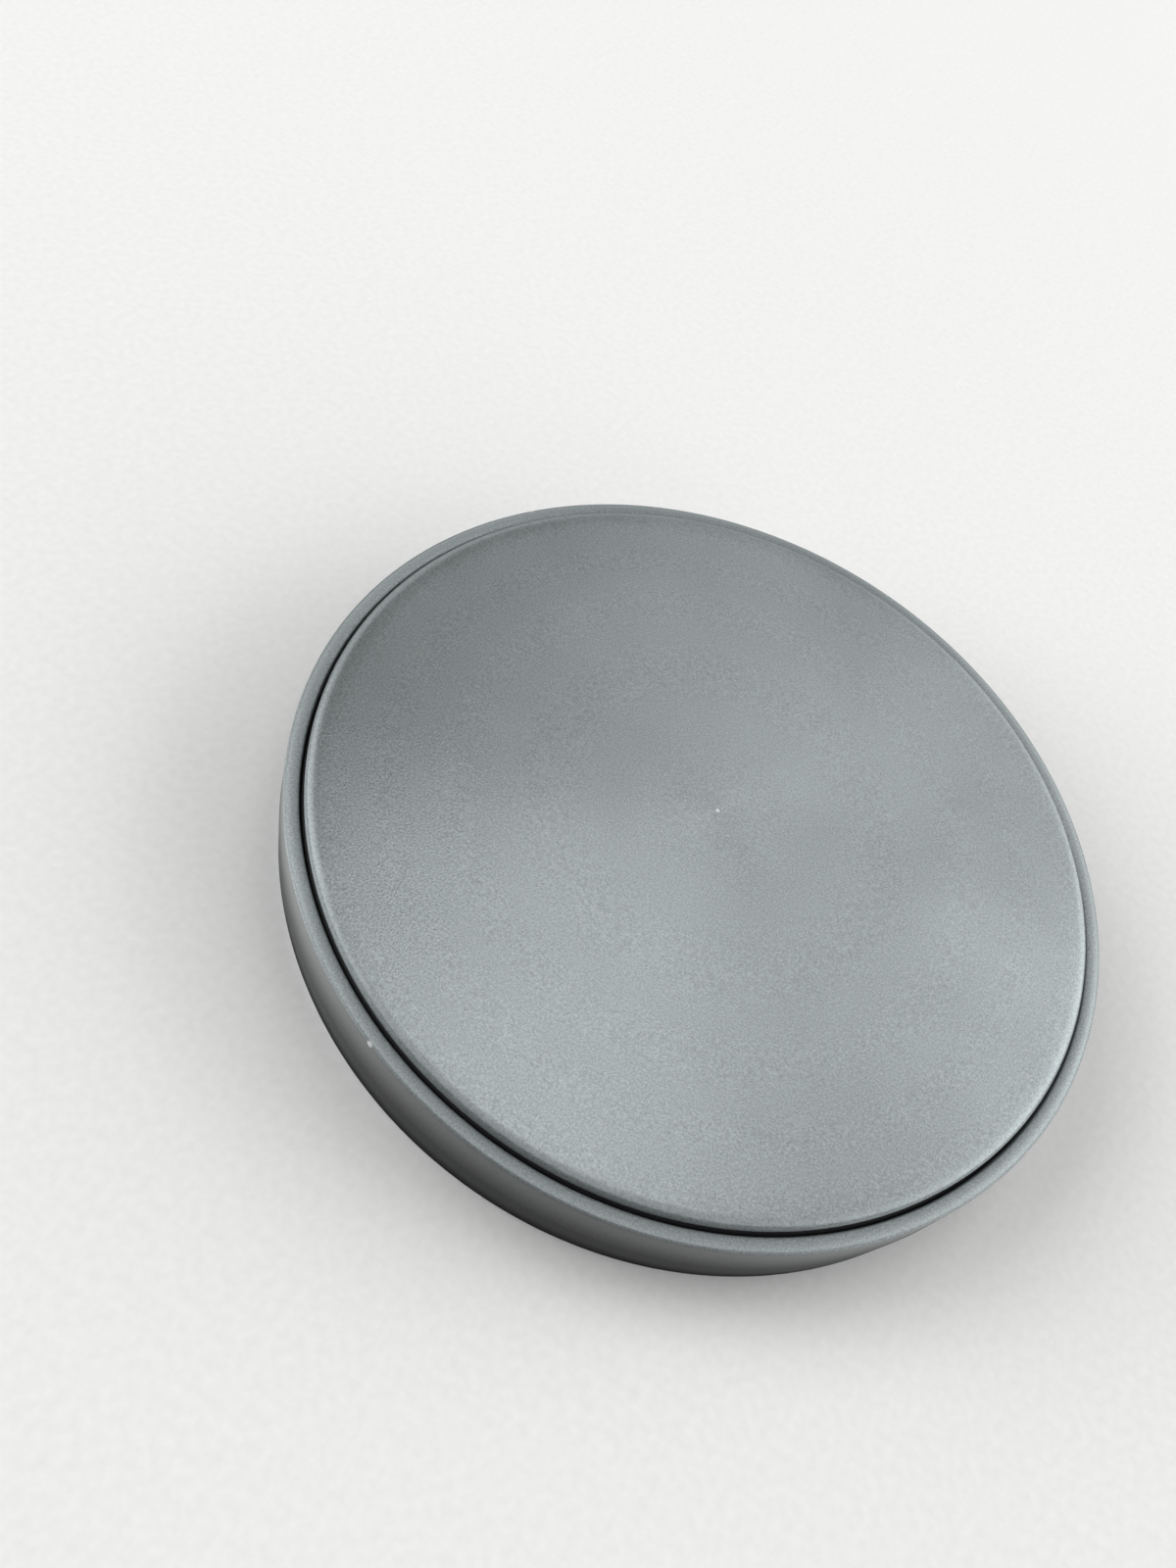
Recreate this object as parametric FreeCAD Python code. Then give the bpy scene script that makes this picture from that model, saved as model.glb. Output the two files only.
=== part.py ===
"""Low covered crystallizing dish, turned from aluminium.

The dish is a shallow round bowl with a heavy rim. A plate lid drops into a rebate inside the rim,
rests on a ledge and stands a little proud. A rubber seal ring sits in a groove round the lid's edge,
and a rubber foot ring sits in a groove under the dish.

Millimetres, +Z up. The origin is on the table, under the middle of the dish.
"""
import FreeCAD, Part
import math
import os

# Overall sizes
overall_diameter = 140.0     # across the faint ridge halfway up the wall
overall_height = 16.4        # table to the lid's highest ring

# Dish
wall_draft = 0.25            # how far the wall draws in from its ridge to the top and to the bottom
rim_width = 2.42             # flat top of the rim, from the bore to the outer face
rim_drop = 1.05              # rim's top below the lid's highest ring
rim_outer_round = 0.35
rim_slope_width = 1.5        # inner part of the rim's top, which curves down to the bore
rim_slope_fall = 0.35
rim_inner_round = 0.3        # broken edge at the bore's mouth
ledge_width = 3.3            # the lid rests on this
ledge_edge_round = 0.4
floor_thickness = 2.4
floor_corner_round = 1.5
base_edge_round = 0.8

# Lid
lid_thickness = 4.4          # where its band meets the hollow, the highest ring
lid_gap = 0.67               # open gap between the lid's edge and the bore
lid_top_round = 0.35
lid_bottom_round = 0.4
lid_band_width = 1.5         # band at the lid's edge, outside the shallow hollow
lid_band_fall = 0.14         # how far the band curves down to the edge
lid_hollow = 1.2             # depth of the hollow in the lid's top, at its middle

# Seal ring, in the lid's groove
seal_groove_depth = 1.35
seal_groove_lip = 0.9        # metal left below the groove
seal_clearance_lid = 0.05
seal_clearance_bore = 0.1

# Foot ring, bonded into a groove under the dish
foot_inset = 1.7             # metal left between the groove and the wall's outer face
foot_width = 3.2
foot_groove_depth = 1.1
foot_stand = 0.4             # how far the foot ring stands out below the dish
foot_edge_round = 0.3

# Places that follow from the sizes above
ridge_radius = overall_diameter / 2
wall_radius = ridge_radius - wall_draft
base_height = foot_stand
rim_height = overall_height - rim_drop
mouth_height = rim_height - rim_slope_fall
ridge_height = (base_height + rim_height) / 2
bore_radius = wall_radius - rim_width
ledge_height = overall_height - lid_thickness
chamber_radius = bore_radius - ledge_width
floor_height = base_height + floor_thickness
lid_radius = bore_radius - lid_gap
lid_edge_height = overall_height - lid_band_fall
hollow_radius = lid_radius - lid_band_width
hollow_height = overall_height - lid_hollow
seal_groove_radius = lid_radius - seal_groove_depth
seal_inner_radius = seal_groove_radius + seal_clearance_lid
seal_outer_radius = bore_radius - seal_clearance_bore
seal_section = seal_outer_radius - seal_inner_radius
seal_groove_bottom = ledge_height + seal_groove_lip
seal_groove_top = seal_groove_bottom + seal_section + 2 * seal_clearance_lid
seal_height = (seal_groove_bottom + seal_groove_top) / 2
foot_outer_radius = wall_radius - foot_inset
foot_inner_radius = foot_outer_radius - foot_width
foot_top = base_height + foot_groove_depth

TOUCH = 1e-4                 # two places closer than this are the same place
ROUND_SHARE = 0.85           # the most of a wall that its rounds may take away


def point(radius, height):
    """A point of a profile, in the XZ half plane."""
    return FreeCAD.Vector(radius, 0, height)


def outline(corners):
    """Straight edges through the corners, in order, not closed."""
    return [
        Part.LineSegment(point(*start), point(*end)).toShape()
        for start, end in zip(corners, corners[1:])
    ]


def turned(edges):
    """The solid that a closed profile sweeps when it turns once about Z."""
    face = Part.Face(Part.Wire(edges))
    return face.revolve(FreeCAD.Vector(0, 0, 0), FreeCAD.Vector(0, 0, 1), 360)


def circles_at(solid, radius, height):
    """The solid's circular edges with this radius at this height."""
    found = []
    for edge in solid.Edges:
        if edge.Degenerated or not isinstance(edge.Curve, Part.Circle):
            continue
        same_radius = math.isclose(edge.Curve.Radius, radius, abs_tol=TOUCH)
        same_height = math.isclose(edge.Curve.Center.z, height, abs_tol=TOUCH)
        if same_radius and same_height:
            found.append(edge)
    return found


def rounded(solid, rounds):
    """Round each named circle: rounds holds (radius of the round, circle's radius, circle's height)."""
    for size, radius, height in rounds:
        solid = solid.makeFillet(size, circles_at(solid, radius, height))
    return solid


def fitted(size, wall):
    """A round of this size, or the largest that leaves some of the wall beside it."""
    return min(size, ROUND_SHARE * wall)


def level_arc(start, end):
    """An arc that runs level at its start and climbs or falls to its end."""
    across = end[0] - start[0]
    rise = end[1] - start[1]
    arc_radius = (across ** 2 + rise ** 2) / (2 * rise)
    half_angle = math.asin(across / arc_radius) / 2
    middle = point(
        start[0] + arc_radius * math.sin(half_angle),
        start[1] + arc_radius * (1 - math.cos(half_angle)),
    )
    return Part.Arc(point(*start), middle, point(*end)).toShape()


def make_dish():
    slope_radius = bore_radius + rim_slope_width
    outside = [
        (0, base_height),
        (foot_inner_radius, base_height),
        (foot_inner_radius, foot_top),
        (foot_outer_radius, foot_top),
        (foot_outer_radius, base_height),
        (wall_radius, base_height),
        (ridge_radius, ridge_height),
        (wall_radius, rim_height),
        (slope_radius, rim_height),
    ]
    inside = [
        (bore_radius, mouth_height),
        (bore_radius, ledge_height),
        (chamber_radius, ledge_height),
        (chamber_radius, floor_height),
        (0, floor_height),
        (0, base_height),
    ]
    slope = [level_arc(outside[-1], inside[0])]
    flat_width = rim_width - rim_slope_width
    mouth_room = min(rim_slope_width, mouth_height - seal_height)
    return rounded(turned(outline(outside) + slope + outline(inside)), [
        (fitted(base_edge_round, foot_inset), wall_radius, base_height),
        (fitted(rim_outer_round, flat_width), wall_radius, rim_height),
        (fitted(rim_inner_round, mouth_room), bore_radius, mouth_height),
        (fitted(ledge_edge_round, ledge_width), chamber_radius, ledge_height),
        (fitted(floor_corner_round, ledge_height - floor_height), chamber_radius, floor_height),
    ])


def make_lid():
    top = [
        level_arc((0, hollow_height), (hollow_radius, overall_height)),
        level_arc((hollow_radius, overall_height), (lid_radius, lid_edge_height)),
    ]
    corners = [
        (lid_radius, lid_edge_height),
        (lid_radius, seal_groove_top),
        (seal_groove_radius, seal_groove_top),
        (seal_groove_radius, seal_groove_bottom),
        (lid_radius, seal_groove_bottom),
        (lid_radius, ledge_height),
        (0, ledge_height),
        (0, hollow_height),
    ]
    top_room = min(lid_band_width, lid_edge_height - seal_groove_top)
    return rounded(turned(top + outline(corners)), [
        (fitted(lid_top_round, top_room), lid_radius, lid_edge_height),
        (fitted(lid_bottom_round, seal_groove_lip), lid_radius, ledge_height),
    ])


def make_seal_ring():
    middle_radius = (seal_inner_radius + seal_outer_radius) / 2
    return Part.makeTorus(middle_radius, seal_section / 2, FreeCAD.Vector(0, 0, seal_height))


def make_foot_ring():
    corners = [
        (foot_inner_radius, 0),
        (foot_outer_radius, 0),
        (foot_outer_radius, foot_top),
        (foot_inner_radius, foot_top),
        (foot_inner_radius, 0),
    ]
    return rounded(turned(outline(corners)), [
        (foot_edge_round, foot_outer_radius, 0),
        (foot_edge_round, foot_inner_radius, 0),
    ])


pieces = {
    "dish": make_dish(),
    "lid": make_lid(),
    "seal_ring": make_seal_ring(),
    "foot_ring": make_foot_ring(),
}

os.makedirs("parts", exist_ok=True)
for name, shape in pieces.items():
    shape.exportStep(f"parts/{name}.step")
    print(f"{name}: {shape.Volume:.0f} mm3, valid {shape.isValid()}")
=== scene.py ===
# %% [markdown]
# # A low covered dish in satin grey metal
# The real object is turned on a lathe: a shallow dish with a heavy rim, and a plate lid that drops in
# and stands a little proud. A black seal ring shows as a line in the gap, and a black foot ring lies
# under the dish. The packed CAD model gives every size and place, so it is loaded first. The finished
# looks must stay inside it.

# %% Load the frame
import bmesh
import bpy
import math
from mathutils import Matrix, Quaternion, Vector


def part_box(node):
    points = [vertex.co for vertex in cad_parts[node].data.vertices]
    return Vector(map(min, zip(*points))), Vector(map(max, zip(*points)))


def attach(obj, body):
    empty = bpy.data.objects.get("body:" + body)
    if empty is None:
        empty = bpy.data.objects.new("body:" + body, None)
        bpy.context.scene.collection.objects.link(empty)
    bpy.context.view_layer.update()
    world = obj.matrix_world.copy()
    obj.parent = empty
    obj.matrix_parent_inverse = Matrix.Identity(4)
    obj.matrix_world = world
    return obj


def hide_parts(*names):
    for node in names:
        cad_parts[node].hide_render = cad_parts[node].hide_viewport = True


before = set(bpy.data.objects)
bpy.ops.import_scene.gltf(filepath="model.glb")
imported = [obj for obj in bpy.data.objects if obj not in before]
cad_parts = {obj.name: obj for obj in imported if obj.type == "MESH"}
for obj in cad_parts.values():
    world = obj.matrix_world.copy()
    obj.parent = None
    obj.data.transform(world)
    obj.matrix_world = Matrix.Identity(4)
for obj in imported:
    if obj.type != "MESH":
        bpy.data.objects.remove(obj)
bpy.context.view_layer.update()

# %% [markdown]
# ## Sizes
# The frame knows how far each piece reaches, so radii and heights are read from its boxes. The few
# sizes that a box can't tell, such as rounds and hidden walls, are named here in millimetres.

# %% Read the radii and heights from the frame
MM = 0.001
WALL_DRAFT = 0.25 * MM
RIM_WIDTH = 2.42 * MM
LEDGE_WIDTH = 3.3 * MM
FLOOR_THICKNESS = 2.4 * MM
GROOVE_DEPTH = 1.35 * MM
FOOT_WIDTH = 3.2 * MM

dish_low, dish_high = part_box("dish")
lid_low, lid_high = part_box("lid")
seal_low, seal_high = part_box("seal_ring")
foot_low, foot_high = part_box("foot_ring")

ridge_radius = dish_high.x
wall_radius = ridge_radius - WALL_DRAFT
bore_radius = wall_radius - RIM_WIDTH
chamber_radius = bore_radius - LEDGE_WIDTH
floor_height = dish_low.z + FLOOR_THICKNESS
lid_radius = lid_high.x
seal_radius = seal_high.x
seal_section = seal_high.z - seal_low.z
groove_radius = lid_radius - GROOVE_DEPTH
print(f"wall {wall_radius:.5f} m, bore {bore_radius:.5f} m, lid {lid_radius:.5f} m")

# %% [markdown]
# ## Turning a profile
# A lathe makes every surface of this object, so every piece is one profile spun about Z. The corners
# carry their own rounds. Two more points, just past each round, hold the smooth shading, so that the
# flat faces beside a round stay flat to the light. Spin makes the rings, and bevel then rounds the
# marked ones with true arcs.

# %% How finely a profile is turned
TURN_STEPS = 288
ROUND_SEGMENTS = 8
HOLD = 0.12 * MM
WELD = 1e-7
NEAR = 1e-6
print(f"one turn takes {TURN_STEPS} steps, and each round {ROUND_SEGMENTS} rings")


# %% Hold the flat faces beside a round
def held(corners):
    """Add a holding point on each side of every corner that will be rounded."""
    points = []
    for place, (radius, height, size) in enumerate(corners):
        here = Vector((radius, height))
        if size:
            before = Vector(corners[place - 1][:2]) - here
            after = Vector(corners[(place + 1) % len(corners)][:2]) - here
            points.append(here + before.normalized() * (size + HOLD))
            points.append(here)
            points.append(here + after.normalized() * (size + HOLD))
        else:
            points.append(here)
    return points


square = [(1 * MM, 0, 0), (2 * MM, 0, 0.2 * MM), (2 * MM, 1 * MM, 0), (1 * MM, 1 * MM, 0)]
print(f"a square with one round corner has {len(held(square))} points")


# %% An arc that starts level
def level_arc(start, end, steps):
    """Profile points along an arc that runs level at its start, without its last point."""
    across = end[0] - start[0]
    rise = end[1] - start[1]
    arc_radius = (across ** 2 + rise ** 2) / (2 * rise)
    points = []
    for step in range(steps):
        part = across * step / steps
        height = arc_radius - math.copysign(math.sqrt(arc_radius ** 2 - part ** 2), arc_radius)
        points.append((start[0] + part, start[1] + height, 0))
    return points


climb_points = level_arc((0, 0), (4 * MM, 1 * MM), 4)
print("an arc climbs by", [round(height / MM, 3) for _, height, _ in climb_points], "mm")


# %% Spin a profile and round it
def rings_at(shape, radius, height):
    """The edges of the circle with this radius at this height."""
    def on_it(vert):
        same_radius = abs(math.hypot(vert.co.x, vert.co.y) - radius) < NEAR
        return same_radius and abs(vert.co.z - height) < NEAR
    return [edge for edge in shape.edges if all(map(on_it, edge.verts))]


def turned(corners):
    """Spin a profile of (radius, height, round) corners once about Z, then round it."""
    shape = bmesh.new()
    points = [shape.verts.new((point.x, 0, point.y)) for point in held(corners)]
    on_axis = corners[0][0] < NEAR
    closed = points if on_axis else points + points[:1]
    edges = [shape.edges.new(pair) for pair in zip(closed, closed[1:])]
    bmesh.ops.spin(
        shape, geom=points + edges, cent=(0, 0, 0), axis=(0, 0, 1),
        angle=math.tau, steps=TURN_STEPS, use_merge=True,
    )
    bmesh.ops.remove_doubles(shape, verts=shape.verts, dist=WELD)
    for radius, height, size in corners:
        if size:
            bmesh.ops.bevel(
                shape, geom=rings_at(shape, radius, height), offset=size, offset_type="OFFSET",
                affect="EDGES", segments=ROUND_SEGMENTS, profile=0.5, material=-1,
            )
    bmesh.ops.recalc_face_normals(shape, faces=shape.faces)
    return shape


trial = turned(square)
print(f"the square turns into a ring of {len(trial.faces)} faces")
trial.free()


# %% Make a piece of the shape
def piece_from(shape, name, body, node):
    """Make the shape a smooth object, tie it to its body, and hide the CAD node it stands for."""
    mesh = bpy.data.meshes.new(name)
    for face in shape.faces:
        face.smooth = True
    shape.to_mesh(mesh)
    shape.free()
    piece = bpy.data.objects.new(name, mesh)
    bpy.context.scene.collection.objects.link(piece)
    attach(piece, body)
    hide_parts(node)
    print(f"{name}: {len(mesh.polygons)} faces")
    return piece


# %% [markdown]
# ## The dish
# Its profile starts on the axis under the floor, passes the groove of the foot ring, climbs the wall
# over the faint ridge halfway up, rounds the rim, slopes into the bore and drops to the ledge that
# carries the lid, and so down to the floor inside.

# %% Turn the dish
SLOPE_WIDTH = 1.5 * MM
SLOPE_FALL = 0.35 * MM
BASE_ROUND = 0.8 * MM
RIM_ROUND = 0.35 * MM
MOUTH_ROUND = 0.3 * MM
LEDGE_ROUND = 0.4 * MM
FLOOR_ROUND = 1.5 * MM
ARC_STEPS = 3

ridge_height = (dish_low.z + dish_high.z) / 2
foot_outer_radius = foot_high.x
foot_inner_radius = foot_outer_radius - FOOT_WIDTH
slope_radius = bore_radius + SLOPE_WIDTH
mouth_height = dish_high.z - SLOPE_FALL

dish_profile = [
    (0, dish_low.z, 0),
    (foot_inner_radius, dish_low.z, 0),
    (foot_inner_radius, foot_high.z, 0),
    (foot_outer_radius, foot_high.z, 0),
    (foot_outer_radius, dish_low.z, 0),
    (wall_radius, dish_low.z, BASE_ROUND),
    (ridge_radius, ridge_height, 0),
    (wall_radius, dish_high.z, RIM_ROUND),
]
dish_profile += level_arc((slope_radius, dish_high.z), (bore_radius, mouth_height), ARC_STEPS)
dish_profile += [
    (bore_radius, mouth_height, MOUTH_ROUND),
    (bore_radius, lid_low.z, 0),
    (chamber_radius, lid_low.z, LEDGE_ROUND),
    (chamber_radius, floor_height, FLOOR_ROUND),
    (0, floor_height, 0),
]
dish = piece_from(turned(dish_profile), "turned_dish", "dish_body", "dish")

# %% [markdown]
# ## The lid
# The lid's top is very slightly hollow, as a faced plate often is, and a narrow band round it curves
# down to the edge. Both are arcs that run level at one end, so one formula gives the points of both,
# with enough rings to shade without bands.

# %% Turn the lid
LID_BAND = 1.5 * MM
LID_BAND_FALL = 0.14 * MM
LID_HOLLOW = 1.2 * MM
LID_TOP_ROUND = 0.35 * MM
LID_BOTTOM_ROUND = 0.4 * MM
GROOVE_LIP = 0.9 * MM
HOLLOW_STEPS = 24

hollow_radius = lid_radius - LID_BAND
edge_height = lid_high.z - LID_BAND_FALL
groove_bottom = lid_low.z + GROOVE_LIP
groove_top = seal_low.z + seal_high.z - groove_bottom

lid_profile = level_arc((0, lid_high.z - LID_HOLLOW), (hollow_radius, lid_high.z), HOLLOW_STEPS)
lid_profile += level_arc((hollow_radius, lid_high.z), (lid_radius, edge_height), ARC_STEPS)
lid_profile += [
    (lid_radius, edge_height, LID_TOP_ROUND),
    (lid_radius, groove_top, 0),
    (groove_radius, groove_top, 0),
    (groove_radius, groove_bottom, 0),
    (lid_radius, groove_bottom, 0),
    (lid_radius, lid_low.z, LID_BOTTOM_ROUND),
    (0, lid_low.z, 0),
]
lid = piece_from(turned(lid_profile), "turned_lid", "lid_body", "lid")

# %% [markdown]
# ## The two rubber rings
# The seal is a plain ring of round section, so its section circle is spun about the dish's axis. A
# torus mesh would do as well, but one way of working covers the whole object. The foot ring is flat,
# so it is turned from a profile like the metal, with soft lower edges.

# %% Turn the seal
SECTION_STEPS = 24


def seal_shape():
    """A round section on the seal's circle, spun once about Z."""
    middle = Vector((seal_radius - seal_section / 2, 0, (seal_low.z + seal_high.z) / 2))
    shape = bmesh.new()
    bmesh.ops.create_circle(shape, segments=SECTION_STEPS, radius=seal_section / 2)
    bmesh.ops.rotate(shape, verts=shape.verts, matrix=Quaternion((1, 0, 0), math.pi / 2).to_matrix())
    bmesh.ops.translate(shape, verts=shape.verts, vec=middle)
    bmesh.ops.spin(
        shape, geom=shape.verts[:] + shape.edges[:], cent=(0, 0, 0), axis=(0, 0, 1),
        angle=math.tau, steps=TURN_STEPS, use_merge=True,
    )
    bmesh.ops.remove_doubles(shape, verts=shape.verts, dist=WELD)
    bmesh.ops.recalc_face_normals(shape, faces=shape.faces)
    return shape


seal = piece_from(seal_shape(), "rubber_seal", "seal_body", "seal_ring")

# %% Turn the foot ring
FOOT_ROUND = 0.3 * MM

foot_profile = [
    (foot_inner_radius, foot_low.z, FOOT_ROUND),
    (foot_outer_radius, foot_low.z, FOOT_ROUND),
    (foot_outer_radius, foot_high.z, 0),
    (foot_inner_radius, foot_high.z, 0),
]
foot = piece_from(turned(foot_profile), "rubber_foot", "dish_body", "foot_ring")

# %% [markdown]
# ## Writing shader sums as sums
# A finish is a web of small nodes, and most of them are arithmetic. Wrapping a socket in a class with
# its own operators lets a finish be written as a formula, and one method adds every other node.

# %% A socket that works in sums
class Value:
    """A number that changes over the surface, and that works in sums like a plain number."""

    def __init__(self, web, socket):
        self.web = web
        self.socket = socket

    def math(self, operation, *numbers):
        return self.web.node("ShaderNodeMath", {"operation": operation}, dict(enumerate(numbers)))

    def __add__(self, other):
        return self.math("ADD", self, other)

    def __sub__(self, other):
        return self.math("SUBTRACT", self, other)

    def __rsub__(self, other):
        return self.math("SUBTRACT", other, self)

    def __mul__(self, other):
        return self.math("MULTIPLY", self, other)

    def __pow__(self, other):
        return self.math("POWER", self, other)

    def __gt__(self, other):
        return self.math("GREATER_THAN", self, other)

    __radd__ = __add__
    __rmul__ = __mul__


print("a Value knows + - * ** and >")


# %% The one method that adds a node
class Web:
    """A node tree whose nodes all come from one method."""

    def __init__(self, tree):
        self.tree = tree
        tree.nodes.clear()

    def node(self, kind, settings, sockets, output=0):
        """Add a node: its settings first, then the values or links of its sockets."""
        made = self.tree.nodes.new(kind)
        for name, setting in settings.items():
            setattr(made, name, setting)
        for name, value in sockets.items():
            if isinstance(value, Value):
                self.tree.links.new(value.socket, made.inputs[name])
            else:
                made.inputs[name].default_value = value
        return Value(self, made.outputs[output]) if made.outputs else None


print("a Web adds every other node")


# %% A finish
class Finish(Web):
    """A material on the piece's own coordinates, with the few patterns that every finish needs."""

    def __init__(self, name):
        self.material = bpy.data.materials.new(name)
        self.material.use_nodes = True
        super().__init__(self.material.node_tree)
        self.place = self.node("ShaderNodeTexCoord", {}, {}, "Object")

    def part(self, vector, axis):
        return self.node("ShaderNodeSeparateXYZ", {}, {"Vector": vector}, axis)

    def ramp(self, value, low, high):
        """A soft step from 0 at low to 1 at high."""
        sockets = {"Value": value, "From Min": low, "From Max": high}
        return self.node("ShaderNodeMapRange", {"interpolation_type": "SMOOTHSTEP"}, sockets)

    def noise(self, size, detail=2.0):
        """Noise with features of about this size, from 0 to 1."""
        sockets = {"Vector": self.place, "Scale": 1 / size, "Detail": detail}
        return self.node("ShaderNodeTexNoise", {}, sockets, "Fac")

    def lines(self, along, size):
        """Noise that changes along one number only, so it draws lines across it."""
        sockets = {"W": along, "Scale": 1 / size, "Detail": 3.0}
        return self.node("ShaderNodeTexNoise", {"noise_dimensions": "1D"}, sockets, "Fac")

    def blend(self, factor, first, second):
        """A colour that runs from the first to the second as the factor goes from 0 to 1."""
        sockets = {"Factor": factor, 6: first, 7: second}
        return self.node("ShaderNodeMix", {"data_type": "RGBA"}, sockets, 2)

    def bump(self, height, distance):
        return self.node("ShaderNodeBump", {}, {"Height": height, "Distance": distance}, "Normal")

    def surface(self, **sockets):
        """Close the finish with the one shader that everything feeds."""
        named = {name.replace("_", " "): value for name, value in sockets.items()}
        shader = self.node("ShaderNodeBsdfPrincipled", {}, named)
        self.node("ShaderNodeOutputMaterial", {}, {"Surface": shader})
        print(f"{self.material.name}: {len(self.tree.nodes)} nodes")
        return self.material


trial_finish = Finish("trial")
patches = 1 - trial_finish.noise(1 * MM) * 0.5
last_node = patches.socket.node.bl_label
print(f"1 - noise * 0.5 is a web of {len(trial_finish.tree.nodes)} nodes, and ends in {last_node}")
bpy.data.materials.remove(trial_finish.material)

# %% [markdown]
# ## Satin metal
# The faces are turned and then fine blasted: a close grain over faint rings, with a few clouds from
# handling and a few specks of dust. The rings are noise that changes only with radius plus height, so
# they run round the faces and the wall alike. They also stretch each highlight across themselves,
# which draws the soft star of a turned plate. That stretch is one constant, the anisotropy.

# %% Scales and tones of the metal
GRAIN = 0.30 * MM
RING_STEP = 0.25 * MM
CLOUD = 24 * MM
DUST_STEP = 4.2 * MM
DUST_SIZE = 0.13 * MM
DUST_SHARE = 0.05
FACE_PALE = (0.43, 0.473, 0.478, 1)
FACE_DEEP = (0.16, 0.175, 0.18, 1)
BRIGHT = (0.75, 0.77, 0.77, 1)
STRETCH = 0.55
QUARTER_TURN = 0.25
RELIEF = 0.02 * MM
# The last round of a face is rougher, and it is painted darker as painted shade that dims the glint
# there.
ROUGH_SHADED_EDGE_START = 0.5 * MM
ROUGH_SHADED_EDGE_END = 0.2 * MM
print(f"grain {GRAIN / MM:.2f} mm, rings every {RING_STEP / MM:.2f} mm, clouds {CLOUD / MM:.0f} mm")


# %% The metal finish
class Metal(Finish):
    """A finish that knows the patterns of turned and blasted metal."""

    def __init__(self, name):
        super().__init__(name)
        x = self.part(self.place, "X")
        y = self.part(self.place, "Y")
        self.height = self.part(self.place, "Z")
        self.radius = (x * x + y * y) ** 0.5
        self.grain = self.noise(GRAIN)
        self.clouds = self.noise(CLOUD)
        self.rings = self.lines(self.radius + self.height, RING_STEP)

    def face(self, painted_light_and_shade=0.0):
        """The blasted face's colour, made paler by painted highlights and darker by painted shade."""
        tone = (self.grain - 0.5) * 1.15 + self.clouds * 0.3 + self.rings * 0.15
        return self.blend(tone + painted_light_and_shade + 0.26, FACE_DEEP, FACE_PALE)

    def dust(self):
        """Sparse round specks: most cells of the pattern stay empty."""
        sockets = {"Vector": self.place, "Scale": 1 / DUST_STEP}
        reach = self.node("ShaderNodeTexVoronoi", {}, sockets, "Distance")
        chance = self.part(self.node("ShaderNodeTexVoronoi", {}, sockets, "Color"), "X")
        inside = 1 - self.ramp(reach, DUST_SIZE / DUST_STEP * 0.5, DUST_SIZE / DUST_STEP)
        return inside * (chance > 1 - DUST_SHARE)

    def spot(self, point, size):
        """A soft round mark at one point."""
        sockets = {0: self.place, 1: point}
        reach = self.node("ShaderNodeVectorMath", {"operation": "DISTANCE"}, sockets, "Value")
        return 1 - self.ramp(reach, size * 0.5, size)

    def metal(self, tint, roughness):
        """Close the finish: the rings stretch the highlights, and the grain breaks them up."""
        relief = self.grain + self.rings * 0.3
        return self.surface(
            Base_Color=tint, Metallic=1.0, Roughness=roughness, Anisotropic=STRETCH,
            Anisotropic_Rotation=QUARTER_TURN, Normal=self.bump(relief, RELIEF),
        )


print("a Metal has", ", ".join(name for name in vars(Metal) if "_" not in name))


# %% The lid's finish
BAND_START = 0.2 * MM
BAND_END = 1.0 * MM
CENTRE_MARK = 0.45 * MM


def lid_metal():
    """Faced and blasted, with a tiny centre mark, a rougher band at the edge painted paler as a painted
    highlight, and painted shade on the round at the gap.
    """
    skin = Metal("lid_satin_metal")
    # The band is rougher, and it is painted paler below as a painted highlight where it curves down to
    # the edge.
    band = skin.ramp(skin.radius, hollow_radius - BAND_START, hollow_radius + BAND_END)
    # Painted shade: the round and the side that face the gap are painted darker, and they are also made
    # rougher.
    edge = skin.ramp(skin.radius, lid_radius - ROUGH_SHADED_EDGE_START, lid_radius - ROUGH_SHADED_EDGE_END)
    centre = 1 - skin.ramp(skin.radius, CENTRE_MARK / 3, CENTRE_MARK)
    specks = skin.dust()
    # The face is painted paler on the band, a painted highlight, and darker at the edge round, painted
    # shade.
    tint = skin.blend(specks + centre * 0.6, skin.face(band * 0.32 - edge * 0.5), BRIGHT)
    roughness = 0.28 + skin.clouds * 0.06 + skin.grain * 0.03 + band * 0.22 + edge * 0.2 + specks * 0.2
    return skin.metal(tint, roughness)


lid.data.materials.append(lid_metal())

# %% [markdown]
# ## The dish's two finishes
# The rim is blasted like the lid's edge. It is painted paler towards its outer edge, painted light
# that leaves painted shade next to the lid's gap, and its outer round is painted darker as painted
# shade. The wall is rougher, and painted far darker than the rim as painted shade. It is painted
# darker further down, with a faint painted shade step at its ridge, and nearly black at its foot as a
# painted contact shadow. One material holds them: soft steps on the radius and the height tell the
# parts from each other. Two small nicks mark the rim, where it has met a bench.

# %% The dish's finish
# The wall's two tints are painted shade: the wall is painted far darker than the rim, and darker still
# towards the floor.
SHADED_WALL_TOP = (0.205, 0.21, 0.21, 1)
SHADED_WALL_FOOT = (0.066, 0.067, 0.068, 1)
WALL_START = 0.1 * MM
WALL_END = 0.01 * MM
# A near-black painted contact shadow along the foot of the wall.
PAINTED_FOOT_SHADOW = (0.008, 0.008, 0.008, 1)
PAINTED_FOOT_SHADOW_SHARE = 0.98
PAINTED_FOOT_SHADOW_FULL = 0.6 * MM
PAINTED_FOOT_SHADOW_END = 4.6 * MM
# Where the wall's painted shade starts to fade upwards.
PAINTED_SHADE_FADE_START = 5 * MM
# A faint painted shade step at the ridge: the wall is painted darker below it, where it turns to face
# down.
PAINTED_RIDGE_BLUR = 0.4 * MM
PAINTED_RIDGE_SHARE = 0.08
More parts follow.
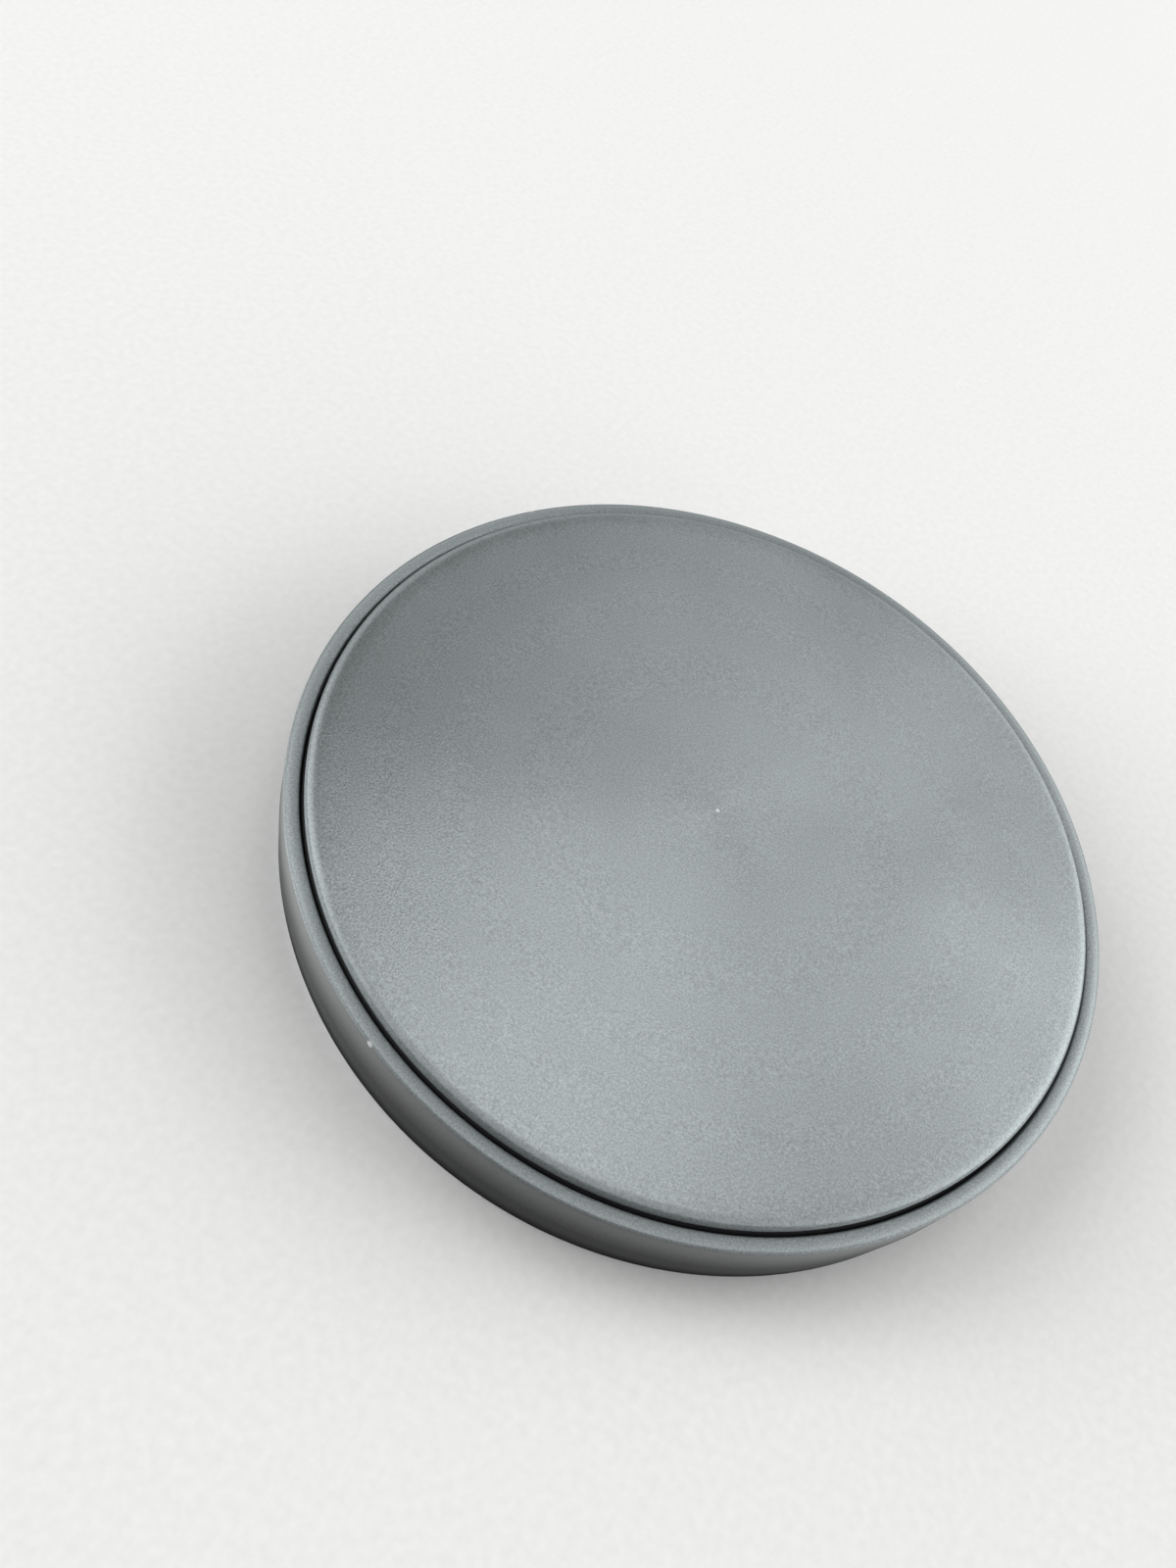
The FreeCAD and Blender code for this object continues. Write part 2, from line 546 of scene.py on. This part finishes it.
# The rim's flat is painted paler towards its outer edge: painted light, which leaves painted shade next
# to the lid's gap.
PAINTED_RIM_LIGHT_START = 0.7 * MM
PAINTED_RIM_LIGHT_END = 0.3 * MM
NICK_AZIMUTHS = (252.2, 149.7)
NICK_BELOW_TOP = 0.2 * MM
NICK_SIZE = 0.6 * MM
NICK_SHARE = 0.6


def on_rim(azimuth):
    """A point of the rim's outer edge in this direction, in degrees."""
    turn = math.radians(azimuth)
    return (wall_radius * math.cos(turn), wall_radius * math.sin(turn), dish_high.z - NICK_BELOW_TOP)


def dish_metal():
    """A blasted rim with painted light over a rough wall painted dark as painted shade."""
    skin = Metal("dish_satin_metal")
    wall = skin.ramp(skin.radius, wall_radius - WALL_START, wall_radius - WALL_END)
    # Painted shade: a faint step, darker below the ridge.
    painted_ridge_step = skin.ramp(skin.height, ridge_height - PAINTED_RIDGE_BLUR, ridge_height + PAINTED_RIDGE_BLUR)
    # Painted contact shadow: near black at the foot, fading out upwards.
    up = skin.ramp(skin.height, dish_low.z + PAINTED_FOOT_SHADOW_FULL, dish_low.z + PAINTED_FOOT_SHADOW_END)
    painted_foot_shadow = PAINTED_FOOT_SHADOW_SHARE - up * PAINTED_FOOT_SHADOW_SHARE
    # Painted light on the rim, paler away from the lid's gap.
    painted_rim_light = skin.ramp(skin.radius, slope_radius - PAINTED_RIM_LIGHT_START, wall_radius - PAINTED_RIM_LIGHT_END)
    # The rim's outer round is rougher, and it is painted darker as painted shade.
    edge = skin.ramp(skin.radius, wall_radius - ROUGH_SHADED_EDGE_START, wall_radius - ROUGH_SHADED_EDGE_END)
    specks = skin.dust()
    near_nick, left_nick = (skin.spot(on_rim(azimuth), NICK_SIZE) for azimuth in NICK_AZIMUTHS)
    nicks = (near_nick + left_nick) * NICK_SHARE
    # Painted shade: the wall is painted darker towards the floor, with a faint step darker below the
    # ridge.
    painted_shade_fade = skin.ramp(skin.height, dish_low.z + PAINTED_SHADE_FADE_START, dish_high.z)
    painted_shade_fade = painted_shade_fade * (1 - PAINTED_RIDGE_SHARE) + painted_ridge_step * PAINTED_RIDGE_SHARE
    side = skin.blend(painted_shade_fade ** 1.3 + (skin.grain - 0.5) * 0.5, SHADED_WALL_FOOT, SHADED_WALL_TOP)
    # The foot of the wall is painted nearly black, a painted contact shadow.
    side = skin.blend(painted_foot_shadow, side, PAINTED_FOOT_SHADOW)
    # The rim's face, with its painted light and the painted shade on its outer round.
    top = skin.face(painted_rim_light * 0.34 - edge * 0.4)
    tint = skin.blend(specks + nicks, skin.blend(wall, top, side), BRIGHT)
    roughness = 0.50 + skin.clouds * 0.06 + edge * 0.15 + specks * 0.2
    return skin.metal(tint, roughness)


dish.data.materials.append(dish_metal())

# %% [markdown]
# ## Rubber
# Both rings are black moulded rubber. Real rubber is never one even black: it has a fine moulded grain
# and dull, slightly paler clouds where it has been handled. One function makes it, and the foot ring
# gets the rougher kind, because it rubs on the table.

# %% The rubber of both rings
RUBBER_GRAIN = 0.15 * MM
RUBBER_CLOUD = 9 * MM
SEAL_BLACK = (0.004, 0.004, 0.005, 1)
FOOT_BLACK = (0.006, 0.006, 0.006, 1)


def rubber(name, tint, roughness):
    """Black rubber: a fine grain, and clouds that are paler and rougher."""
    finish = Finish(name)
    grain = finish.noise(RUBBER_GRAIN, detail=4.0)
    clouds = finish.noise(RUBBER_CLOUD)
    shade = grain * 0.5 + clouds * 0.5
    paler = tuple(3 * channel for channel in tint[:3]) + (1,)
    return finish.surface(
        Base_Color=finish.blend(shade, tint, paler), Roughness=roughness + clouds * 0.15,
        Normal=finish.bump(grain, RELIEF), Specular_IOR_Level=0.35,
    )


seal.data.materials.append(rubber("seal_black_rubber", SEAL_BLACK, 0.55))
foot.data.materials.append(rubber("foot_black_rubber", FOOT_BLACK, 0.7))

# %% [markdown]
# ## The floor
# A plain pale sheet lies under the dish. It only has to catch the soft shadow, so it is one square with
# fine paper fibres, nearly without gloss. Its sides end about where the softboxes stand, because the
# floor behind them gets little light and would show as a dark strip.

# %% Lay the floor
FLOOR_SIZE = 4.8
FIBRE = 1.5 * MM
PAPER_DEEP = (0.80, 0.80, 0.79, 1)
PAPER_PALE = (0.92, 0.92, 0.91, 1)

bpy.ops.mesh.primitive_plane_add(size=FLOOR_SIZE)
floor = bpy.context.object
floor.name = "floor"
paper = Finish("pale_floor")
fibres = paper.noise(FIBRE, detail=6.0)
floor.data.materials.append(paper.surface(
    Base_Color=paper.blend(fibres, PAPER_DEEP, PAPER_PALE), Roughness=0.85, Specular_IOR_Level=0.15,
))
print(f"floor: {FLOOR_SIZE} m across")

# %% [markdown]
# ## Light
# Large softboxes stand in a ring round the table and look at the object. The strong ones are low, on
# the left and the far right, so they brush across the metal. They are very large, because the smaller
# a light of the same power is, the harder it glares in the lid when it is seen against the light. The
# near side has only faint fills, which leave the near wall dark but give the metal something to mirror
# from every side. Two that stand lower skim the table, mainly to light the sides of the wall. All of
# them are hidden from the camera, so a picture shows only their reflections in the metal.

# %% Set up the softboxes
LIGHT_DISTANCE = 2.6
LARGE = 2.6
USUAL = 1.4
SMALL = 1.2


def softbox(name, azimuth, elevation, power, size=USUAL):
    """A round softbox in this direction, in degrees, that looks at the object."""
    turn = math.radians(azimuth)
    lift = math.radians(elevation)
    level = math.cos(lift)
    away = Vector((level * math.cos(turn), level * math.sin(turn), math.sin(lift)))
    light = bpy.data.lights.new(name, "AREA")
    light.shape = "DISK"
    light.size = size
    light.energy = power
    box = bpy.data.objects.new(name, light)
    bpy.context.scene.collection.objects.link(box)
    box.location = away * LIGHT_DISTANCE
    box.rotation_mode = "QUATERNION"
    box.rotation_quaternion = (-away).to_track_quat("-Z", "Y")
    box.visible_camera = False
    return power


total = sum((
    softbox("right_low", 0, 13, 24, LARGE),
    softbox("right_far_low", 30, 13, 45, LARGE),
    softbox("far_low", 60, 13, 24, LARGE),
    softbox("left_low", 180, 13, 26, LARGE),
    softbox("near_left_low", 210, 13, 50, LARGE),
    softbox("right_far_high", 45, 45, 7.5),
    softbox("far_high", 90, 45, 4),
    softbox("left_high", 180, 45, 17),
    softbox("overhead", 90, 70, 9.5),
    softbox("left_skim", 206, 4, 30, SMALL),
    softbox("right_skim", 343, 4, 15, SMALL),
    softbox("far_left_fill", 120, 13, 2.5),
    softbox("left_far_fill", 150, 13, 2.5),
    softbox("near_fill", 270, 13, 2.0),
    softbox("near_right_fill", 300, 13, 2.0),
    softbox("right_near_fill", 330, 13, 2.5),
))
print(f"softboxes: {total:.1f} W in all")

# %% [markdown]
# ## The room and the camera
# The room gives almost no light of its own, or it would wash out the star on the lid. A camera that
# looks past the floor should still see a pale wall, so the background is a mix of two: a dim one for
# the light, and a pale one for what the camera meets straight away. The camera stands near and high,
# and is rolled, as a hand-held one is.

# %% The room around
ROOM_TINT = (0.90, 0.93, 0.95, 1)
ROOM_LIGHT = 0.02
WALL_TINT = (0.66, 0.66, 0.65, 1)

world = bpy.data.worlds.new("room")
bpy.context.scene.world = world
world.use_nodes = True
room = Web(world.node_tree)
dim = room.node("ShaderNodeBackground", {}, {"Color": ROOM_TINT, "Strength": ROOM_LIGHT})
pale = room.node("ShaderNodeBackground", {}, {"Color": WALL_TINT})
straight = room.node("ShaderNodeLightPath", {}, {}, "Is Camera Ray")
both = room.node("ShaderNodeMixShader", {}, {0: straight, 1: dim, 2: pale})
room.node("ShaderNodeOutputWorld", {}, {"Surface": both})
bpy.context.scene.view_settings.view_transform = "Standard"
print(f"room: {len(room.tree.nodes)} nodes, light {ROOM_LIGHT}")

# %% The camera
CAMERA_PLACE = Vector((0, -121.76, 168.64)) * MM
CAMERA_AIM = Vector((-19.67, -10.76, 15.9)) * MM
CAMERA_ROLL = 25.69

camera_data = bpy.data.cameras.new("camera")
camera_data.lens = 27
camera_data.sensor_width = 36
camera_data.clip_start = 0.01
camera = bpy.data.objects.new("camera", camera_data)
bpy.context.scene.collection.objects.link(camera)
camera.location = CAMERA_PLACE
camera.rotation_mode = "QUATERNION"
towards = CAMERA_AIM - CAMERA_PLACE
upright = towards.to_track_quat("-Z", "Y")
camera.rotation_quaternion = upright @ Quaternion((0, 0, 1), math.radians(CAMERA_ROLL))
bpy.context.scene.camera = camera
print(f"camera: {towards.length:.3f} m from its aim")

# %% [markdown]
